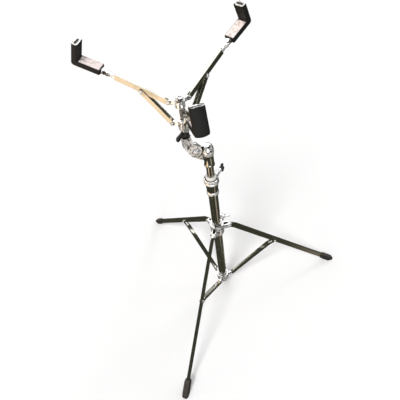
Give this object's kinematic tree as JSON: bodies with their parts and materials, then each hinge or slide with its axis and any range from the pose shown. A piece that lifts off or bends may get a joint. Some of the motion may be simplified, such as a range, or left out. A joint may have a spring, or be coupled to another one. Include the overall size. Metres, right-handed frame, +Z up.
{
  "type": "snare drum stand",
  "caption": "Folding tripod stand for a snare drum: sliding upper tube, tilter, and a three-armed basket with rubber grips.",
  "frame": {"origin": "middle of the stand's bounding box, on the floor", "axes": "+Z up along the tubes, front leg towards -Y, right leg towards +X"},
  "size_m": [0.6428, 0.6906, 0.8932],
  "materials": {
    "chrome": "bright chrome plate on steel",
    "steel": "zinc-plated and bare steel pins, screws and rod",
    "grip_rubber": "black ribbed rubber, slightly dusty",
    "foot_rubber": "dull black-brown rubber",
    "black_plastic": "moulded black plastic",
    "nylon_bush": "pale nylon"
  },
  "bodies": {
    "base": {"base_tube": "chrome", "tube_plug": "foot_rubber", "lower_collar": "chrome", "height_housing": "chrome", "brace_pin_front": "steel", "brace_pin_right": "steel", "brace_pin_left": "steel"},
    "leg_collar": {"leg_collar": "chrome", "leg_pin_front": "steel", "leg_pin_right": "steel", "leg_pin_left": "steel"},
    "leg_collar_bolt": {"leg_collar_bolt": "chrome"},
    "height_bolt": {"height_bolt": "black_plastic"},
    "height_bush": {"height_bush": "nylon_bush"},
    "upper_tube": {"upper_tube": "chrome", "tilter_base": "chrome", "ratchet_disc": "steel"},
    "tilter": {"tilter_arm": "chrome", "basket_rod": "steel", "hub_washer": "steel", "hub_screw": "steel"},
    "tilter_bolt": {"tilter_wing_bolt": "chrome"},
    "wing_nut": {"wing_nut": "black_plastic"},
    "hub": {"hub": "chrome", "arm_pin_front": "steel", "arm_pin_right": "steel", "arm_pin_left": "steel"},
    "slider": {"slider": "chrome", "strut_pin_front": "steel", "strut_pin_right": "steel", "strut_pin_left": "steel"},
    "leg_front": {"leg_front": "chrome", "foot_front": "foot_rubber"},
    "brace_front": {"brace_front": "chrome"},
    "arm_front": {"arm_front": "chrome", "arm_tip_front": "chrome", "grip_front": "grip_rubber"},
    "strut_front": {"strut_front": "chrome"},
    "leg_right": {"leg_right": "chrome", "foot_right": "foot_rubber"},
    "brace_right": {"brace_right": "chrome"},
    "arm_right": {"arm_right": "chrome", "arm_tip_right": "chrome", "grip_right": "grip_rubber"},
    "strut_right": {"strut_right": "chrome"},
    "leg_left": {"leg_left": "chrome", "foot_left": "foot_rubber"},
    "brace_left": {"brace_left": "chrome"},
    "arm_left": {"arm_left": "chrome", "arm_tip_left": "chrome", "grip_left": "grip_rubber"},
    "strut_left": {"strut_left": "chrome"}
  },
  "joints": [
    {"name": "leg_collar_slide", "type": "slide", "parent": "base", "child": "leg_collar", "axis": [0, 0, 1], "range_m": [0, 0.122]},
    {"name": "leg_front_hinge", "type": "hinge", "parent": "leg_collar", "child": "leg_front", "pos_m": [-0.08572, -0.00662, 0.3187], "axis": [0.9232, -0.3843, 0], "range_deg": [0, 39.4]},
    {"name": "brace_front_hinge", "type": "hinge", "parent": "base", "child": "brace_front", "pos_m": [-0.08388, -0.00219, 0.0525], "axis": [-0.9232, 0.3843, 0], "range_deg": [0, 37.3]},
    {"name": "leg_right_hinge", "type": "hinge", "parent": "leg_collar", "child": "leg_right", "pos_m": [-0.03949, 0.02873, 0.3187], "axis": [-0.1288, 0.9917, 0], "range_deg": [0, 39.4]},
    {"name": "brace_right_hinge", "type": "hinge", "parent": "base", "child": "brace_right", "pos_m": [-0.04425, 0.02811, 0.0525], "axis": [0.1288, -0.9917, 0], "range_deg": [0, 37.3]},
    {"name": "leg_left_hinge", "type": "hinge", "parent": "leg_collar", "child": "leg_left", "pos_m": [-0.09322, 0.05109, 0.3187], "axis": [-0.7944, -0.6074, 0], "range_deg": [0, 39.4]},
    {"name": "brace_left_hinge", "type": "hinge", "parent": "base", "child": "brace_left", "pos_m": [-0.0903, 0.04728, 0.0525], "axis": [0.7944, 0.6074, 0], "range_deg": [0, 37.3]},
    {"name": "leg_collar_bolt_turn", "type": "hinge", "parent": "leg_collar", "child": "leg_collar_bolt", "pos_m": [-0.06134, 0.04078, 0.326], "axis": [0.5736, 0.8192, 0], "continuous": true},
    {"name": "height_bolt_turn", "type": "hinge", "parent": "base", "child": "height_bolt", "pos_m": [-0.05995, 0.03972, 0.515], "axis": [0.6428, 0.766, 0], "continuous": true},
    {"name": "height_swivel", "type": "hinge", "parent": "base", "child": "height_bush", "pos_m": [-0.07281, 0.0244, 0.512], "axis": [0, 0, 1], "continuous": true},
    {"name": "height_slide", "type": "slide", "parent": "height_bush", "child": "upper_tube", "axis": [0, 0, 1], "range_m": [-0.03, 0.14]},
    {"name": "tilt", "type": "hinge", "parent": "upper_tube", "child": "tilter", "pos_m": [-0.10272, 0.01304, 0.628], "axis": [0.3551, -0.9348, 0], "range_deg": [-30, 60]},
    {"name": "tilter_bolt_turn", "type": "hinge", "parent": "upper_tube", "child": "tilter_bolt", "pos_m": [-0.10272, 0.01304, 0.628], "axis": [0.3551, -0.9348, 0], "continuous": true},
    {"name": "wing_nut_turn", "type": "hinge", "parent": "tilter", "child": "wing_nut", "pos_m": [-0.11703, 0.00644, 0.68798], "axis": [0, -0.0314, 0.9995], "continuous": true},
    {"name": "basket_swivel", "type": "hinge", "parent": "tilter", "child": "hub", "pos_m": [-0.11703, 0.00409, 0.76284], "axis": [0, -0.0314, 0.9995], "continuous": true},
    {"name": "basket_clamp", "type": "slide", "parent": "hub", "child": "slider", "axis": [0, -0.0314, 0.9995], "range_m": [0, 0.015]},
    {"name": "arm_front_hinge", "type": "hinge", "parent": "hub", "child": "arm_front", "pos_m": [-0.11215, -0.02031, 0.76208], "axis": [-0.9806, -0.1958, -0.0062], "range_deg": [0, 39.4]},
    {"name": "strut_front_hinge", "type": "hinge", "parent": "slider", "child": "strut_front", "pos_m": [-0.11244, -0.0172, 0.70975], "axis": [-0.9806, -0.1958, -0.0062], "range_deg": [0, 18.5]},
    {"name": "arm_right_hinge", "type": "hinge", "parent": "hub", "child": "arm_right", "pos_m": [-0.09832, 0.02052, 0.76336], "axis": [0.66, -0.7509, -0.0236], "range_deg": [0, 39.4]},
    {"name": "strut_right_hinge", "type": "hinge", "parent": "slider", "child": "strut_right", "pos_m": [-0.09945, 0.02117, 0.71096], "axis": [0.66, -0.7509, -0.0236], "range_deg": [0, 18.5]},
    {"name": "arm_left_hinge", "type": "hinge", "parent": "hub", "child": "arm_left", "pos_m": [-0.14061, 0.01207, 0.7631], "axis": [0.3206, 0.9467, 0.0298], "range_deg": [0, 39.4]},
    {"name": "strut_left_hinge", "type": "hinge", "parent": "slider", "child": "strut_left", "pos_m": [-0.13919, 0.01323, 0.71071], "axis": [0.3206, 0.9467, 0.0298], "range_deg": [0, 18.5]}
  ],
  "couplings": [
    {"joint": "leg_front_hinge", "follows": "leg_collar_slide", "rad_per_m": 5.6247},
    {"joint": "brace_front_hinge", "follows": "leg_collar_slide", "rad_per_m": 5.3198},
    {"joint": "leg_right_hinge", "follows": "leg_collar_slide", "rad_per_m": 5.6247},
    {"joint": "brace_right_hinge", "follows": "leg_collar_slide", "rad_per_m": 5.3198},
    {"joint": "leg_left_hinge", "follows": "leg_collar_slide", "rad_per_m": 5.6247},
    {"joint": "brace_left_hinge", "follows": "leg_collar_slide", "rad_per_m": 5.3198},
    {"joint": "arm_front_hinge", "follows": "basket_clamp", "rad_per_m": 45.715},
    {"joint": "strut_front_hinge", "follows": "basket_clamp", "rad_per_m": 21.402},
    {"joint": "arm_right_hinge", "follows": "basket_clamp", "rad_per_m": 45.715},
    {"joint": "strut_right_hinge", "follows": "basket_clamp", "rad_per_m": 21.402},
    {"joint": "arm_left_hinge", "follows": "basket_clamp", "rad_per_m": 45.715},
    {"joint": "strut_left_hinge", "follows": "basket_clamp", "rad_per_m": 21.402}
  ]
}
